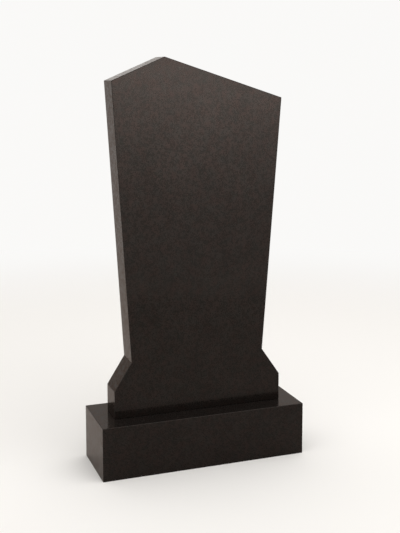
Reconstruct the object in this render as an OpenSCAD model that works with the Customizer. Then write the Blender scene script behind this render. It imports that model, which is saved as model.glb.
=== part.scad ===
// Headstone of polished dark granite: a tapered upright slab, the stele, pinned on a plain plinth.
// Origin at the centre of the plinth's underside. X runs across the face, and the front looks to -Y.

/* [Plinth] */
// Width of the plinth
plinth_w = 600; // [520:10:900]
// Depth of the plinth, front to back
plinth_d = 200; // [130:10:400]
// Height of the plinth
plinth_h = 150; // [100:10:300]

/* [Stele] */
// Height of the stele from its underside to the apex
stele_h = 1000; // [700:10:1400]
// Width of the stele at its foot and across its shoulders
stele_w = 500; // [440:10:520]
// Thickness of the stele
stele_d = 80; // [50:5:120]
// Height of the upright sides of the foot
foot_h = 77; // [40:1:140]
// Height of the waist, where the foot has drawn in and the blade starts
waist_h = 156; // [145:1:300]
// How far the waist draws in on the left
left_waist_inset = 50; // [10:1:100]
// How far the waist draws in on the right
right_waist_inset = 55; // [10:1:100]
// Distance of the apex from the left edge
apex_from_left = 150; // [60:5:380]
// Drop from the apex to the left shoulder
left_shoulder_drop = 65; // [20:1:200]
// Drop from the apex to the right shoulder
right_shoulder_drop = 113; // [20:1:200]

/* [Finish] */
// Setback of the arris, the small bevel along each edge that shows
arris = 1; // [0.5:0.5:5]

/* [Setting] */
// Thickness of the adhesive bed between the two stones
bed_t = 1; // [0.5:0.5:5]
// How far the bed is raked back from the faces of the stele
bed_rake = 3; // [1:0.5:10]
// Diameter of the dowels that pin the stele to the plinth
dowel_d = 12; // [8:1:20]
// Length of the dowels, half of it below the top of the plinth
dowel_l = 120; // [60:5:160]
// Distance between the two dowels
dowel_spacing = 300; // [150:10:400]
// Bevel at the cut ends of a dowel
dowel_bevel = 1; // [0.5:0.5:2]
// Gap round a dowel and above its end, for the resin
dowel_gap = 1; // [0.5:0.5:3]

/* [Hidden] */

granite_colour = [0.15, 0.13, 0.12];
adhesive_colour = [0.08, 0.08, 0.08];
steel_colour = [0.7, 0.71, 0.72];

// Facets of a full turn
$fn = 64;
// How far a hole is cut past the face that it opens in
overrun = 5;

stele_z = plinth_h + bed_t;
dowel_z = plinth_h - dowel_l / 2;
dowel_top = dowel_z + dowel_l;
hole_d = dowel_d + 2 * dowel_gap;
left_dowel_x = -dowel_spacing / 2;
right_dowel_x = dowel_spacing / 2;

// Corners of the stele seen from the front: distance from its middle, height above its underside
half_w = stele_w / 2;
bottom_left = [-half_w, 0];
bottom_right = [half_w, 0];
foot_left = [-half_w, foot_h];
foot_right = [half_w, foot_h];
waist_left = [left_waist_inset - half_w, waist_h];
waist_right = [half_w - right_waist_inset, waist_h];
shoulder_left = [-half_w, stele_h - left_shoulder_drop];
shoulder_right = [half_w, stele_h - right_shoulder_drop];
apex = [apex_from_left - half_w, stele_h];

// Direction from one point to another
function toward(from, to) = (to - from) / norm(to - from);

// The two points that replace an outer corner once its arris is worked
function eased(before, corner, after) = [
    corner + arris * toward(corner, before),
    corner + arris * toward(corner, after)
];

// Outline of the stele, counter-clockwise. The waist is its only inner corner on either side, so it is
// kept as two convex stretches: the foot between the waist corners, and the blade above them
foot_outline = concat(
    [waist_left],
    eased(waist_left, foot_left, bottom_left),
    [bottom_left, bottom_right],
    eased(bottom_right, foot_right, waist_right),
    [waist_right]
);
blade_outline = concat(
    eased(waist_right, shoulder_right, apex),
    eased(shoulder_right, apex, shoulder_left),
    eased(apex, shoulder_left, waist_left)
);

// Normal of an edge, into an outline that runs counter-clockwise
function inward(from, to) = let (along = toward(from, to)) [-along.y, along.x];

// Arris of an edge of the stele: none on the underside, which beds on the plinth
function edge_arris(from, to) = from.y == 0 && to.y == 0 ? 0 : arris;

// Corner moved in by the arrises of the two edges that meet there, so that they mitre
function mitred(before, corner, after) =
    let (
        n1 = inward(before, corner),
        n2 = inward(corner, after),
        a1 = edge_arris(before, corner),
        a2 = edge_arris(corner, after)
    )
    corner + [a1 * n2.y - a2 * n1.y, a2 * n1.x - a1 * n2.x] / cross(n1, n2);

// Outline stood upright at a distance behind the middle of the slab
function upright(outline, y) = [for (p = outline) [p.x, y, p.y]];

// Upright rectangle on the base line with its two top corners eased
function eased_at_top(w, h) =
    let (
        base_left = [-w / 2, 0],
        base_right = [w / 2, 0],
        top_right = [w / 2, h],
        top_left = [-w / 2, h]
    )
    concat(
        [base_left, base_right],
        eased(base_right, top_right, top_left),
        eased(top_right, top_left, base_left)
    );

// Centred rectangle with all four corners eased
function eased_all_round(w, d) =
    let (corners = [[-w, -d] / 2, [w, -d] / 2, [w, d] / 2, [-w, d] / 2])
    [for (i = [0:3]) each eased(corners[(i + 3) % 4], corners[i], corners[(i + 1) % 4])];

// Upright slab whose front and back edges are arrised. Four rings of points run from its front face
// over the two lines where the arrises meet its sides to its back face
module arrised_slab(foot, blade, depth) {
    outline = concat(foot, blade);
    count = len(outline);
    waist = len(foot) - 1;
    back = 3 * count;
    face = [
        for (i = [0:count - 1])
            mitred(outline[(i + count - 1) % count], outline[i], outline[(i + 1) % count])
    ];
    foot_front = [for (i = [waist:-1:0]) i];
    foot_back = [for (i = [0:waist]) back + i];
    blade_front = concat([0], [for (i = [count - 1:-1:waist]) i]);
    blade_back = concat([for (i = [waist:count - 1]) back + i], [back]);
    sides = [
        for (ring = [0:2], i = [0:count - 1])
            let (start = ring * count, next = (i + 1) % count)
            [start + i, start + next, start + count + next, start + count + i]
    ];
    polyhedron(
        points = concat(
            upright(face, -depth / 2),
            upright(outline, arris - depth / 2),
            upright(outline, depth / 2 - arris),
            upright(face, depth / 2)
        ),
        faces = concat([foot_front, blade_front, foot_back, blade_back], sides)
    );
}

// Block with its upright and top edges arrised and a plain underside
module arrised_block(w, d, h) {
    intersection() {
        linear_extrude(h) polygon(eased_all_round(w, d));
        rotate([90, 0, 0]) linear_extrude(d, center = true) polygon(eased_at_top(w, h));
        rotate([90, 0, 90]) linear_extrude(w, center = true) polygon(eased_at_top(d, h));
    }
}

// The two dowel holes between two heights
module dowel_holes(low, high) {
    for (x = [left_dowel_x, right_dowel_x])
        translate([x, 0, low]) cylinder(h = high - low, d = hole_d);
}

// Bar of round steel cut to length, its ends bevelled
module dowel() {
    r = dowel_d / 2;
    rotate_extrude()
        polygon([
            [0, 0],
            [r - dowel_bevel, 0],
            [r, dowel_bevel],
            [r, dowel_l - dowel_bevel],
            [r - dowel_bevel, dowel_l],
            [0, dowel_l]
        ]);
}

// Base block, drilled from above so that the dowels stand on the bottoms of their holes
module plinth() {
    color(granite_colour)
        difference() {
            arrised_block(plinth_w, plinth_d, plinth_h);
            dowel_holes(dowel_z, plinth_h + overrun);
        }
}

// Film of adhesive that the stele is set in, raked back from its faces
module bed_joint() {
    color(adhesive_colour)
        translate([0, 0, plinth_h])
            difference() {
                linear_extrude(bed_t)
                    square([stele_w - 2 * bed_rake, stele_d - 2 * bed_rake], center = true);
                dowel_holes(-overrun, bed_t + overrun);
            }
}

module left_dowel() {
    color(steel_colour) translate([left_dowel_x, 0, dowel_z]) dowel();
}

module right_dowel() {
    color(steel_colour) translate([right_dowel_x, 0, dowel_z]) dowel();
}

// Upright slab in one piece: a flared foot, a blade that widens upwards and an apex left of the middle
module stele() {
    color(granite_colour)
        difference() {
            translate([0, 0, stele_z]) arrised_slab(foot_outline, blade_outline, stele_d);
            dowel_holes(stele_z - overrun, dowel_top + dowel_gap);
        }
}

plinth();
bed_joint();
left_dowel();
right_dowel();
stele();
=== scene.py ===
import math

import bmesh
import bpy
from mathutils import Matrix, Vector


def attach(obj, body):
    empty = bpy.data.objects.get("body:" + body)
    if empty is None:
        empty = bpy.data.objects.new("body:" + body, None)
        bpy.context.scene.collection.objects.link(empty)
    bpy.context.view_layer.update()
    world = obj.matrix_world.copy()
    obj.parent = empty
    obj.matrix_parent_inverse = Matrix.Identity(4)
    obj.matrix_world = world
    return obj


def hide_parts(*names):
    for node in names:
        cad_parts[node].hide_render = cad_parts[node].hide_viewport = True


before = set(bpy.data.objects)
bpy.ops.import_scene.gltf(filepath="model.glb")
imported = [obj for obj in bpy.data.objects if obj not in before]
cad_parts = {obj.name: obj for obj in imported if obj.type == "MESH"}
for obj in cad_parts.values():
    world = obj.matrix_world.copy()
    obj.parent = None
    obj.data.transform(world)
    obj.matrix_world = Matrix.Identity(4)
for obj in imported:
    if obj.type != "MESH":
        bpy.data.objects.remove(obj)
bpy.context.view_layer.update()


# Plinth: the base block, sawn from dark gabbro of the kind that is sold as black granite.
# Its top and its four upright faces are ground and polished, its edges are rubbed to a small flat arris,
# and its underside is left as the saw cut it, because it beds on the foundation.
PLINTH_TURN = (0.3, 1.1, 0.4)


def feed(tree, socket, value):
    """Give a socket a plain value, or link the output that feeds it."""
    if isinstance(value, bpy.types.NodeSocket):
        tree.links.new(value, socket)
    else:
        socket.default_value = value


def add(tree, kind, inputs=(), **settings):
    """Node of a shader tree with its settings and inputs."""
    made = tree.nodes.new("ShaderNode" + kind)
    for name, value in settings.items():
        setattr(made, name, value)
    for name, value in dict(inputs).items():
        feed(tree, made.inputs[name], value)
    return made


def noise(tree, place, swings, detail, output="Fac"):
    """Soft random values over a place, with so many swings to a metre."""
    return add(tree, "TexNoise", {"Vector": place, "Scale": swings, "Detail": detail}).outputs[output]


def maths(tree, operation, first, second, clamp=False):
    """Sum, product or comparison of two values."""
    return add(tree, "Math", {0: first, 1: second}, operation=operation, use_clamp=clamp).outputs[0]


def spread_over(tree, value, low, high):
    """A value from 0 to 1 spread over another range."""
    return add(tree, "MapRange", {"Value": value, "To Min": low, "To Max": high}).outputs[0]


def colours_along(tree, value, stops, interpolation="LINEAR"):
    """Colours along a value from 0 to 1."""
    made = add(tree, "ValToRGB", {"Fac": value})
    made.color_ramp.interpolation = interpolation
    elements = made.color_ramp.elements
    while len(elements) < len(stops):
        elements.new(0.5)
    for element, (position, colour) in zip(elements, stops):
        element.position = position
        element.color = (*colour, 1)
    return made.outputs["Color"]


def mixed(tree, factor, first, second, how="MIX"):
    """Two colours mixed by a factor."""
    made = add(tree, "Mix", data_type="RGBA", blend_type=how)
    ins = {socket.identifier: socket for socket in made.inputs}
    outs = {socket.identifier: socket for socket in made.outputs}
    feed(tree, ins["Factor_Float"], factor)
    feed(tree, ins["A_Color"], first)
    feed(tree, ins["B_Color"], second)
    return outs["Result_Color"]


def random_part(tree, cells, channel):
    """One random value for each cell of a Voronoi pattern."""
    return add(tree, "SeparateColor", {"Color": cells.outputs["Color"]}).outputs[channel]


# Crystals of about 3 mm with ragged edges, in loose clusters. The cluster and chance put each crystal on a
# scale from 0 to 1, along which the minerals start one after another: bronzy pyroxene, dark feldspar,
# brown mica, olive hornblende and a little pale feldspar
CRYSTAL = 0.0030
EDGE_SWINGS, EDGE_WANDER = 330, (0.003, 0.003, 0.003)
CLUSTER_SWINGS, CLUSTER_LOW, CLUSTER_HIGH = 80, -0.835, 1.165
CHANCE = 0.65
PYROXENE_END = 0.62
MINERALS = (
    (0.00, (0.0188, 0.0149, 0.0134)),
    (PYROXENE_END, (0.0104, 0.0085, 0.0075)),
    (0.82, (0.0132, 0.0097, 0.0077)),
    (0.89, (0.0099, 0.0093, 0.0080)),
    (0.96, (0.0160, 0.0139, 0.0124)),
)

# Thin feldspar laths that cut through the crystals in two directions
LATH = 0.0024
LATH_STRETCH = (1.0, 1.0, 0.3)
LATH_TURNS = ((0.5, 0.3, 0.9), (1.9, -0.6, 0.2))
LATH_SHARE = 0.10
LATH_COLOUR = (0.0111, 0.0093, 0.0083, 1)

# Wide drifts of hue and of light and dark, the slow swell that polishing leaves, and the lines of the saw.
# At a scale of 1 the wave node draws its lines WAVE_NODE_PITCH apart
CAST_SWINGS = 42
OLIVE_CAST = (0.36, (0.96, 1.01, 1.00))
RUDDY_CAST = (0.64, (1.07, 0.98, 0.95))
CLOUD_SWINGS, CLOUD_DARK, CLOUD_LIGHT = 14, 0.8, 1.2
SWELL_SWINGS = 5
SAW_PITCH = 0.0035
WAVE_NODE_PITCH = 0.314
SAW_WANDER = {"Distortion": 3.0, "Detail": 2.0, "Detail Scale": 0.6}

granite_grain = bpy.data.node_groups.new("granite_grain", "ShaderNodeTree")
granite_grain.interface.new_socket("Place", in_out="INPUT", socket_type="NodeSocketVector")
granite_grain.interface.new_socket("Colour", in_out="OUTPUT", socket_type="NodeSocketColor")
for mask in ("Lustre", "Relief", "Swell", "Saw lines"):
    granite_grain.interface.new_socket(mask, in_out="OUTPUT", socket_type="NodeSocketFloat")
tree = granite_grain
place = tree.nodes.new("NodeGroupInput").outputs["Place"]
result = tree.nodes.new("NodeGroupOutput")

wander = noise(tree, place, EDGE_SWINGS, detail=3, output="Color")
ragged = add(tree, "VectorMath", {0: wander, 1: EDGE_WANDER, 2: place}, operation="MULTIPLY_ADD").outputs[0]
crystals = add(tree, "TexVoronoi", {"Vector": ragged, "Scale": 1 / CRYSTAL})
cluster = spread_over(tree, noise(tree, place, CLUSTER_SWINGS, detail=2), CLUSTER_LOW, CLUSTER_HIGH)
chance = maths(tree, "MULTIPLY", random_part(tree, crystals, "Red"), CHANCE)
kind = maths(tree, "ADD", cluster, chance, clamp=True)
stone_colour = colours_along(tree, kind, MINERALS, "CONSTANT")
lustre = maths(tree, "LESS_THAN", kind, PYROXENE_END)
for turn in LATH_TURNS:
    along = add(tree, "Mapping", {"Vector": ragged, "Rotation": turn, "Scale": LATH_STRETCH}).outputs[0]
    laths = add(tree, "TexVoronoi", {"Vector": along, "Scale": 1 / LATH})
    is_lath = maths(tree, "LESS_THAN", random_part(tree, laths, "Red"), LATH_SHARE)
    stone_colour = mixed(tree, is_lath, stone_colour, LATH_COLOUR)
    lustre = maths(tree, "SUBTRACT", lustre, is_lath, clamp=True)
cast = colours_along(tree, noise(tree, place, CAST_SWINGS, detail=3), (OLIVE_CAST, RUDDY_CAST))
stone_colour = mixed(tree, 1.0, stone_colour, cast, "MULTIPLY")
cloud = spread_over(tree, noise(tree, place, CLOUD_SWINGS, detail=3), CLOUD_DARK, CLOUD_LIGHT)
clouded = add(tree, "VectorMath", {0: stone_colour, "Scale": cloud}, operation="SCALE")
saw_lines = add(tree, "TexWave", {"Vector": place, "Scale": WAVE_NODE_PITCH / SAW_PITCH, **SAW_WANDER})
feed(tree, result.inputs["Colour"], clouded.outputs[0])
feed(tree, result.inputs["Lustre"], lustre)
feed(tree, result.inputs["Relief"], random_part(tree, crystals, "Blue"))
feed(tree, result.inputs["Swell"], noise(tree, place, SWELL_SWINGS, detail=1))
feed(tree, result.inputs["Saw lines"], saw_lines.outputs["Fac"])

# Gloss of the polish, and the finishes of the stone: how rough its smooth and its lustrous crystals are,
# how deep their relief and the wave of the face are, how much pale grey is mixed into its colour, and how
# much lustre is left. The pale grey is dust on the sawn and rubbed faces, and painted top light on the
# level top
GLOSS_IOR = 1.30
GLOSS_TINT = (0.57, 0.50, 0.463, 1)
FAINT_LUSTRE, BRONZY_LUSTRE = 0.50, 0.76
# Pale grey mixed into the stone's colour: dust on the sawn and rubbed faces, painted top light on the level
# top
STONE_DUST_AND_TOP_LIGHT = (0.10, 0.095, 0.09, 1)
POLISH = dict(smoothest=0.08, roughest=0.22, relief_depth=2e-6, wave="Swell", wave_depth=6e-5)
RUBBING = dict(smoothest=0.22, roughest=0.34, relief_depth=4e-6, wave="Swell", wave_depth=3e-5)
SAWING = dict(smoothest=0.7, roughest=0.85, relief_depth=6e-5, wave="Saw lines", wave_depth=2.5e-4)
FINISHES = {
    "polished": dict(POLISH, dust_and_top_light=0.0, shine=1.0),
    "rubbed": dict(RUBBING, dust_and_top_light=0.06, shine=0.8),
    "sawn": dict(SAWING, dust_and_top_light=0.5, shine=0.1),
    # Level top: a little pale grey in its colour, painted light that makes the top read lighter than the
    # upright faces
    "painted_top_light": dict(POLISH, dust_and_top_light=0.055, shine=0.8),
}


def granite(name, block_turn, dust_and_top_light, shine, smoothest, roughest, relief_depth, wave, wave_depth):
    """One finish of the stone. Each block has its own turn, so no pattern runs on across the joint."""
    made = bpy.data.materials.new(name)
    made.use_nodes = True
    tree = made.node_tree
    shader = tree.nodes["Principled BSDF"]
    shader.inputs["IOR"].default_value = GLOSS_IOR
    shader.inputs["Specular Tint"].default_value = GLOSS_TINT
    place = add(tree, "TexCoord").outputs["Object"]
    block = add(tree, "Mapping", {"Vector": place, "Rotation": block_turn}).outputs[0]
    grain = add(tree, "Group", {"Place": block}, node_tree=granite_grain).outputs
    metal = spread_over(tree, grain["Lustre"], FAINT_LUSTRE * shine, BRONZY_LUSTRE * shine)
    fine = add(tree, "Bump", {"Height": grain["Relief"], "Distance": relief_depth}).outputs[0]
    wide = add(tree, "Bump", {"Height": grain[wave], "Distance": wave_depth, "Normal": fine}).outputs[0]
    # Pale grey in the colour: dust on the sawn and rubbed faces, painted top light on the level top
    feed(tree, shader.inputs["Base Color"], mixed(tree, dust_and_top_light, grain["Colour"], STONE_DUST_AND_TOP_LIGHT))
    feed(tree, shader.inputs["Metallic"], metal)
    feed(tree, shader.inputs["Roughness"], spread_over(tree, grain["Lustre"], smoothest, roughest))
    feed(tree, shader.inputs["Normal"], wide)
    return made


# What tells the faces of a block apart: the upward part of their normal, and the width of an arris.
# The edges of an arris, which turn by about 45 degrees, are softened, and sharper corners stay sharp
DOWNWARD, LEVEL = -0.9, 0.99
ARRIS_WIDEST = 0.004
ARRIS_SOFTENING = 0.0003
ONE_PLANE = math.radians(0.5)
SOFT_FROM, SOFT_TO = math.radians(15), math.radians(60)
SAME_POINT = 1e-6


def finish_of(face):
    """Finish of a face: sawn underneath, rubbed on an arris, lightened by painted top light on the level
    top, or else polished.
    """
    if face.normal.z < DOWNWARD:
        return "sawn"
    width = face.calc_area() / max(edge.calc_length() for edge in face.edges)
    if width < ARRIS_WIDEST:
        return "rubbed"
    return "painted_top_light" if face.normal.z > LEVEL else "polished"


def dressed_stone(name, node_name, block_turn):
    """Stone block from its solid: whole faces, arrises with softened edges, and a finish on each face."""
    shape = bmesh.new()
    shape.from_mesh(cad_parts[node_name].data)
    bmesh.ops.remove_doubles(shape, verts=shape.verts, dist=SAME_POINT)
    bmesh.ops.dissolve_limit(
        shape, angle_limit=ONE_PLANE, verts=shape.verts, edges=shape.edges, delimit={"NORMAL"},
    )
    soft = [edge for edge in shape.edges if edge.is_convex and SOFT_FROM < edge.calc_face_angle() < SOFT_TO]
    bmesh.ops.bevel(
        shape, geom=soft, offset=ARRIS_SOFTENING, offset_type="OFFSET", segments=2, profile=0.5,
        affect="EDGES", clamp_overlap=True,
    )
    found = {finish_of(face) for face in shape.faces}
    finishes = [finish for finish in FINISHES if finish in found]
    for face in shape.faces:
        face.smooth = True
        face.material_index = finishes.index(finish_of(face))
    for edge in shape.edges:
        edge.smooth = edge.is_convex and edge.calc_face_angle() < SOFT_TO
    mesh = bpy.data.meshes.new(name)
    shape.to_mesh(mesh)
    shape.free()
    for finish in finishes:
        mesh.materials.append(granite(f"{name}_{finish}", block_turn, **FINISHES[finish]))
    stone = bpy.data.objects.new(name, mesh)
    bpy.context.scene.collection.objects.link(stone)
    stone.modifiers.new("flat_faces", "WEIGHTED_NORMAL").keep_sharp = True
    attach(stone, "root")
    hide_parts(node_name)


dressed_stone("plinth_stone", "plinth", PLINTH_TURN)


# Dowels: two bars of bright drawn steel, sawn off and bevelled at the ends, which pin the stones together.
# They stand in drilled holes across the joint, bedded in resin, and don't show once the stele is set.
STEEL_DULL, STEEL_BRIGHT = (0.3, (0.42, 0.42, 0.43)), (0.6, (0.62, 0.62, 0.63))
STEEL_SMOOTHEST, STEEL_ROUGHEST = 0.22, 0.46
SMUDGE_SWINGS = 60
DRAWING_SWINGS = (2500, 2500, 40)
DRAWING_DEPTH = 2e-5

steel = bpy.data.materials.new("drawn_steel")
steel.use_nodes = True
tree = steel.node_tree
shader = tree.nodes["Principled BSDF"]
shader.inputs["Metallic"].default_value = 1.0
bar = add(tree, "TexCoord").outputs["Object"]
stretched = add(tree, "Mapping", {"Vector": bar, "Scale": DRAWING_SWINGS}).outputs[0]
drawn = noise(tree, stretched, 1.0, detail=4)
lines = add(tree, "Bump", {"Height": drawn, "Distance": DRAWING_DEPTH}).outputs[0]
smudge = noise(tree, bar, SMUDGE_SWINGS, detail=3)
feed(tree, shader.inputs["Base Color"], colours_along(tree, smudge, (STEEL_DULL, STEEL_BRIGHT)))
feed(tree, shader.inputs["Roughness"], spread_over(tree, drawn, STEEL_SMOOTHEST, STEEL_ROUGHEST))
feed(tree, shader.inputs["Normal"], lines)
for name in ("left_dowel", "right_dowel"):
    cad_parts[name].data.materials[0] = steel


# Bed joint: the thin film of black stone adhesive that the stele is set in. It is spread on the plinth,
# squeezed out to about a millimetre by the weight of the stele, and raked back while it is still soft.
ADHESIVE_DARK, ADHESIVE_GREY = (0.35, (0.012, 0.012, 0.012)), (0.7, (0.030, 0.029, 0.028))
ADHESIVE_SMOOTHEST, ADHESIVE_ROUGHEST = 0.40, 0.75
FILLER_SWINGS = 2200
LUMP_SWINGS, LUMP_DEPTH = 260, 3e-4

adhesive = bpy.data.materials.new("stone_adhesive")
adhesive.use_nodes = True
tree = adhesive.node_tree
shader = tree.nodes["Principled BSDF"]
film = add(tree, "TexCoord").outputs["Object"]
lumps = noise(tree, film, LUMP_SWINGS, detail=4)
lumpy = add(tree, "Bump", {"Height": lumps, "Distance": LUMP_DEPTH}).outputs[0]
filler = noise(tree, film, FILLER_SWINGS, detail=2)
feed(tree, shader.inputs["Base Color"], colours_along(tree, filler, (ADHESIVE_DARK, ADHESIVE_GREY)))
feed(tree, shader.inputs["Roughness"], spread_over(tree, lumps, ADHESIVE_SMOOTHEST, ADHESIVE_ROUGHEST))
feed(tree, shader.inputs["Normal"], lumpy)
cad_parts["bed_joint"].data.materials[0] = adhesive


# Stele: the upright slab, sawn and profiled in one piece from another block of the same stone.
# Both faces and all its sides are polished and the arrises are rubbed by hand. It stands on the plinth,
# pinned by the dowels and set in the adhesive.
STELE_TURN = (-0.7, 0.2, 1.5)

dressed_stone("stele_stone", "stele", STELE_TURN)


# Studio: a wide sheet of pale matt paper under a soft dome of light. Far off, where the lamps don't reach,
# the paper looks as bright as the dome at the horizon, to the eye and in the polish of the stone.
FLOOR_REACH = 60
PAPER = (0.88, 0.865, 0.845, 1)
PAPER_ROUGHNESS = 0.9
HAZE = (0.955, 0.948, 0.935)
EVEN_FROM, EVEN_TO = 1.6, 3.4

floor_mesh = bpy.data.meshes.new("floor")
corners = [(x * FLOOR_REACH, y * FLOOR_REACH, 0) for x, y in ((-1, -1), (1, -1), (1, 1), (-1, 1))]
floor_mesh.from_pydata(corners, [], [(0, 1, 2, 3)])
floor = bpy.data.objects.new("floor", floor_mesh)
bpy.context.scene.collection.objects.link(floor)
paper = bpy.data.materials.new("floor_paper")
paper.use_nodes = True
tree = paper.node_tree
matt = tree.nodes["Principled BSDF"]
matt.inputs["Base Color"].default_value = PAPER
matt.inputs["Roughness"].default_value = PAPER_ROUGHNESS
matt.inputs["Specular IOR Level"].default_value = 0.0
away = add(tree, "VectorMath", {0: add(tree, "TexCoord").outputs["Object"]}, operation="LENGTH")
far = add(
    tree, "MapRange", {"Value": away.outputs["Value"], "From Min": EVEN_FROM, "From Max": EVEN_TO},
    interpolation_type="SMOOTHSTEP",
).outputs[0]
rays = add(tree, "LightPath")
seen = maths(tree, "ADD", rays.outputs["Is Camera Ray"], rays.outputs["Is Glossy Ray"])
seen = maths(tree, "ADD", seen, rays.outputs["Is Transmission Ray"], clamp=True)
seen_far = maths(tree, "MULTIPLY", seen, far)
even = add(tree, "Emission", {"Color": (*HAZE, 1)})
look = add(tree, "MixShader", {0: seen_far, 1: matt.outputs[0], 2: even.outputs[0]})
feed(tree, tree.nodes["Material Output"].inputs["Surface"], look.outputs[0])
floor_mesh.materials.append(paper)

# Light of the dome from the horizon, 0, to the zenith, 1
BRIGHT_BAND = (1.05, 1.03, 1.00)
GAP = (0.72, 0.71, 0.695)
RING = (1.25, 1.23, 1.20)
ZENITH = (0.50, 0.49, 0.48)
DOME = (
    (0.00, HAZE),
    (0.09, HAZE),
    (0.20, BRIGHT_BAND),
    (0.34, GAP),
    (0.44, RING),
    (0.74, RING),
    (0.86, ZENITH),
    (1.00, ZENITH),
)

world = bpy.data.worlds.new("dome")
bpy.context.scene.world = world
world.use_nodes = True
tree = world.node_tree
direction = add(tree, "SeparateXYZ", {"Vector": add(tree, "TexCoord").outputs["Generated"]})
feed(tree, tree.nodes["Background"].inputs["Color"], colours_along(tree, direction.outputs["Z"], DOME))


# Lamps: a large soft lamp overhead, and a soft box in front of the face with a grid that keeps its light
# off the paper. The box is brightest at its top, and the polish of the face mirrors that.
OVERHEAD_SIZE = (3.0, 3.0)
OVERHEAD_STAND, OVERHEAD_TARGET = (0.4, -0.9, 3.2), (0.0, -0.3, 0.0)
OVERHEAD_RADIANCE = 1.25
BOX_SIZE = (1.3, 1.3)
BOX_STAND, BOX_TARGET = (0.7, -1.95, 0.66), (0.0, 0.0, 0.92)
BOX_RADIANCE = 0.157
BOX_SPREAD = math.radians(80)
BOX_TOP = 1.17
BOX_FOOT_GLOW, BOX_RISE_GLOW, BOX_RISE_POWER = 0.6, 7.95, 3.0


def lamp(name, size, stand, target, radiance):
    """Soft rectangular lamp that faces a point."""
    light = bpy.data.lights.new(name, "AREA")
    light.shape = "RECTANGLE"
    light.size, light.size_y = size
    light.energy = radiance * math.pi * size[0] * size[1]
    made = bpy.data.objects.new(name, light)
    made.location = stand
    made.rotation_euler = (Vector(target) - Vector(stand)).to_track_quat("-Z", "Y").to_euler()
    made.visible_camera = False
    bpy.context.scene.collection.objects.link(made)
    return light


lamp("overhead_lamp", OVERHEAD_SIZE, OVERHEAD_STAND, OVERHEAD_TARGET, OVERHEAD_RADIANCE)
box = lamp("soft_box", BOX_SIZE, BOX_STAND, BOX_TARGET, BOX_RADIANCE)
box.spread = BOX_SPREAD
box.use_nodes = True
tree = box.node_tree
spot = add(tree, "SeparateXYZ", {"Vector": add(tree, "NewGeometry").outputs["Position"]}).outputs
height = add(tree, "MapRange", {"Value": spot["Z"], "From Min": 0.0, "From Max": BOX_TOP}).outputs[0]
rise = maths(tree, "MULTIPLY", maths(tree, "POWER", height, BOX_RISE_POWER), BOX_RISE_GLOW)
feed(tree, tree.nodes["Emission"].inputs["Strength"], maths(tree, "ADD", rise, BOX_FOOT_GLOW))


# Camera: left of the front and a little below the apex, as in the photograph. It looks slightly down,
# and the shift of its lens takes up a part of that tilt, so that upright edges stay nearly parallel.
CAMERA_STAND = (-0.8942, -2.4901, 1.0938)
AZIMUTH, PITCH = math.radians(20.093), math.radians(6.603)
LENS = 63.537
LENS_SHIFT = -0.15

camera = bpy.data.objects.new("camera", bpy.data.cameras.new("camera"))
bpy.context.scene.collection.objects.link(camera)
camera.location = CAMERA_STAND
reach = math.cos(PITCH)
forward = Vector((math.sin(AZIMUTH) * reach, math.cos(AZIMUTH) * reach, -math.sin(PITCH)))
camera.rotation_euler = forward.to_track_quat("-Z", "Y").to_euler()
camera.data.lens = LENS
camera.data.shift_y = LENS_SHIFT
bpy.context.scene.camera = camera

bpy.context.scene.view_settings.view_transform = "Standard"
